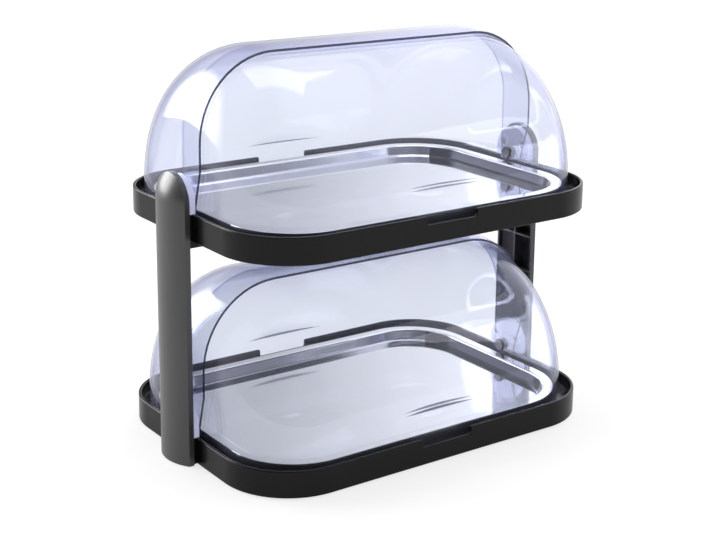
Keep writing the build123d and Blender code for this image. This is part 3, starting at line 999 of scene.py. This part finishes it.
finishes = {
    "post_plastic": {"material": "postPlastic", "edgeRound": 0.7 * mm},
    "base_plastic": {"material": "basePlastic", "edgeRound": 0.5 * mm},
    "washer_plastic": {"material": "nylon", "edgeRound": 0.2 * mm},
    "screw_steel": {"material": "screw", "edgeRound": 0.25 * mm},
    "ice_pack": {"material": "icePack", "edgeRound": 0.3 * mm},
    "rubber": {"material": "rubber", "edgeRound": 0.3 * mm},
    "clear_plastic": {"material": "clearFitting", "edgeRound": 0.5 * mm},
}


# Angles in degrees: edges sharper than the first are rounded, faces flatter than the second joined
bevelFrom = 33
flatWithin = 0.6


def roundEdges(piece, width):
    rounding = piece.modifiers.new("edgeRound", "BEVEL")
    rounding.width = width
    rounding.segments = 2
    rounding.limit_method = "ANGLE"
    rounding.angle_limit = math.radians(bevelFrom)
    rounding.harden_normals = False


def dressNode(name, slot):
    look = finishes[slot]
    source = frame["nodes"][name]
    mesh = source.data.copy()
    work = bmesh.new()
    work.from_mesh(mesh)
    bmesh.ops.remove_doubles(work, verts=work.verts, dist=tolerance)
    bmesh.ops.dissolve_limit(
        work, angle_limit=math.radians(flatWithin), verts=work.verts, edges=work.edges
    )
    bmesh.ops.recalc_face_normals(work, faces=work.faces)
    work.to_mesh(mesh)
    work.free()
    mesh.materials.clear()
    mesh.materials.append(materials[look["material"]])
    mesh.shade_smooth()
    piece = bpy.data.objects.new(name + "_dressed", mesh)
    bpy.context.scene.collection.objects.link(piece)
    roundEdges(piece, look["edgeRound"])
    weighNormals(piece)
    settle(piece, source["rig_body"], [name])


for part in frame["record"]["subparts"]:
    node, slot = part["node"], part["material_slot"]
    if not node.endswith(("_base", "_tray", "_cover", "_screws", "rubber_feet")):
        dressNode(node, "clear_plastic" if node.endswith("_hinge_plate") else slot)
print("posts and fittings dressed")


# Screws and rubber pads: one geometry tree each, with an instance at every place

screwLook = {
    "Head Radius": 4 * mm,
    "Head Height": 2.3 * mm,
    "Shank Radius": 2 * mm,
    "Slot Width": 1 * mm,
    "Slot Depth": 0.9 * mm,
    "Sides": 28,
    "Seed": 7,
}

padLook = {"Pad Radius": 9 * mm, "Sides": 40}


def startTree(name, given):
    tree = bpy.data.node_groups.new(name, "GeometryNodeTree")
    tree.is_modifier = True
    tree.interface.new_socket("Places", in_out="INPUT", socket_type="NodeSocketGeometry")
    for label, value in given.items():
        kind = "NodeSocketInt" if isinstance(value, int) else "NodeSocketFloat"
        tree.interface.new_socket(label, in_out="INPUT", socket_type=kind).default_value = value
    tree.interface.new_socket("Pieces", in_out="OUTPUT", socket_type="NodeSocketGeometry")
    entry = tree.nodes.new("NodeGroupInput")
    sockets = {socket.name: Shade(tree, socket) for socket in entry.outputs if socket.name}
    return tree, Shade(tree), sockets


def endTree(tree, g, geometry, material):
    real = g.node("GeometryNodeRealizeInstances", {}, {0: geometry})
    painted = g.node("GeometryNodeSetMaterial", {}, {
        "Geometry": real, "Material": materials[material],
    })
    leave = tree.nodes.new("NodeGroupOutput")
    tree.links.new(painted.socket, leave.inputs[0])


def alongZ(g, z):
    return g.node("ShaderNodeCombineXYZ", {}, {"Z": z})


def makeScrewTree():
    tree, g, given = startTree("screws", screwLook)
    headRadius, headHeight = given["Head Radius"], given["Head Height"]
    aim = g.node("GeometryNodeInputNamedAttribute", {"data_type": "FLOAT_VECTOR"}, {"Name": "aim"})
    reach = g.node("GeometryNodeInputNamedAttribute", {"data_type": "FLOAT"}, {"Name": "reach"})
    disc = g.node("GeometryNodeMeshCylinder", {}, {
        "Vertices": given["Sides"], "Radius": headRadius, "Depth": headHeight,
    })
    disc = g.node("GeometryNodeTransform", {}, {
        "Geometry": disc, "Translation": alongZ(g, 0.5 * headHeight),
    })
    slotSize = g.node("ShaderNodeCombineXYZ", {}, {
        "X": 3 * headRadius, "Y": given["Slot Width"], "Z": 2 * given["Slot Depth"],
    })
    cutter = g.node("GeometryNodeMeshCube", {}, {"Size": slotSize})
    head = g.node("GeometryNodeMeshBoolean", {"operation": "DIFFERENCE"}, {
        "Mesh 1": disc, "Mesh 2": cutter,
    })
    shank = g.node("GeometryNodeMeshCylinder", {}, {
        "Vertices": given["Sides"], "Radius": given["Shank Radius"], "Depth": 1.0,
    })
    shank = g.node("GeometryNodeTransform", {}, {"Geometry": shank, "Translation": (0, 0, 0.5)})
    upright = g.node("FunctionNodeAlignRotationToVector", {"axis": "Z"}, {"Vector": aim})
    turn = g.node("FunctionNodeRandomValue", {"data_type": "FLOAT"}, {
        2: 0.0, 3: math.pi, "Seed": given["Seed"],
    }, 1)
    spin = g.node("FunctionNodeAxisAngleToRotation", {}, {"Axis": (0, 0, 1), "Angle": turn})
    placed = g.node("FunctionNodeRotateRotation", {"rotation_space": "LOCAL"}, {0: upright, 1: spin})
    heads = g.node("GeometryNodeInstanceOnPoints", {}, {
        "Points": given["Places"], "Instance": head, "Rotation": placed,
    })
    shankStart = 0.6 * headHeight
    sunk = g.node("ShaderNodeVectorMath", {"operation": "SCALE"}, {0: aim, "Scale": shankStart})
    below = g.node("GeometryNodeSetPosition", {}, {"Geometry": given["Places"], "Offset": sunk})
    stretch = g.node("ShaderNodeCombineXYZ", {}, {"X": 1.0, "Y": 1.0, "Z": reach - shankStart})
    shanks = g.node("GeometryNodeInstanceOnPoints", {}, {
        "Points": below, "Instance": shank, "Rotation": upright, "Scale": stretch,
    })
    both = g.node("GeometryNodeJoinGeometry", {}, {0: heads})
    tree.links.new(shanks.socket, both.socket.node.inputs[0])
    endTree(tree, g, both, "screw")
    return tree


def makePadTree():
    tree, g, given = startTree("rubberPads", padLook)
    reach = g.node("GeometryNodeInputNamedAttribute", {"data_type": "FLOAT"}, {"Name": "reach"})
    pad = g.node("GeometryNodeMeshCylinder", {}, {
        "Vertices": given["Sides"], "Radius": given["Pad Radius"], "Depth": 1.0,
    })
    pad = g.node("GeometryNodeTransform", {}, {"Geometry": pad, "Translation": (0, 0, 0.5)})
    stretch = g.node("ShaderNodeCombineXYZ", {}, {"X": 1.0, "Y": 1.0, "Z": reach})
    pads = g.node("GeometryNodeInstanceOnPoints", {}, {
        "Points": given["Places"], "Instance": pad, "Scale": stretch,
    })
    endTree(tree, g, pads, "rubber")
    return tree


def growPieces(name, tree, values, places, edgeRound, replaced):
    # Places are rows of position, direction and length.
    mesh = bpy.data.meshes.new(name)
    mesh.from_pydata([place for place, _, _ in places], [], [])
    aims = mesh.attributes.new("aim", "FLOAT_VECTOR", "POINT")
    aims.data.foreach_set("vector", [part for _, aim, _ in places for part in aim])
    reaches = mesh.attributes.new("reach", "FLOAT", "POINT")
    reaches.data.foreach_set("value", [reach for _, _, reach in places])
    piece = bpy.data.objects.new(name, mesh)
    bpy.context.scene.collection.objects.link(piece)
    grow = piece.modifiers.new(name, "NODES")
    grow.node_group = tree
    for socket in tree.interface.items_tree:
        if socket.in_out == "INPUT" and socket.name in values:
            grow[socket.identifier] = values[socket.name]
    roundEdges(piece, edgeRound)
    weighNormals(piece)
    settle(piece, "stand", replaced)


def screwPlaces():
    headRadius = screwLook["Head Radius"]
    places, names = [], []
    for part in frame["record"]["subparts"]:
        node = part["node"]
        if not node.endswith("_screws"):
            continue
        names.append(node)
        low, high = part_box(node)
        middle = (low + high) / 2
        for y in (low.y + headRadius, high.y - headRadius):
            if node.endswith("_shelf_screws"):
                places.append(((middle.x, y, low.z), (0, 0, 1), high.z - low.z))
                continue
            outward = 1 if middle.x > 0 else -1
            inner = low.x if outward > 0 else high.x
            places.append(((inner, y, middle.z), (outward, 0, 0), high.x - low.x))
    return places, names


def padPlaces():
    low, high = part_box("rubber_feet")
    radius = padLook["Pad Radius"]
    return [
        ((x, y, low.z), (0, 0, 1), high.z - low.z)
        for x in (low.x + radius, high.x - radius)
        for y in (low.y + radius, high.y - radius)
    ]


places, names = screwPlaces()
growPieces("slotted_screws", makeScrewTree(), screwLook, places, 0.2 * mm, names)
growPieces("rubber_pads", makePadTree(), padLook, padPlaces(), 0.6 * mm, ["rubber_feet"])
print("screws placed:", len(places))
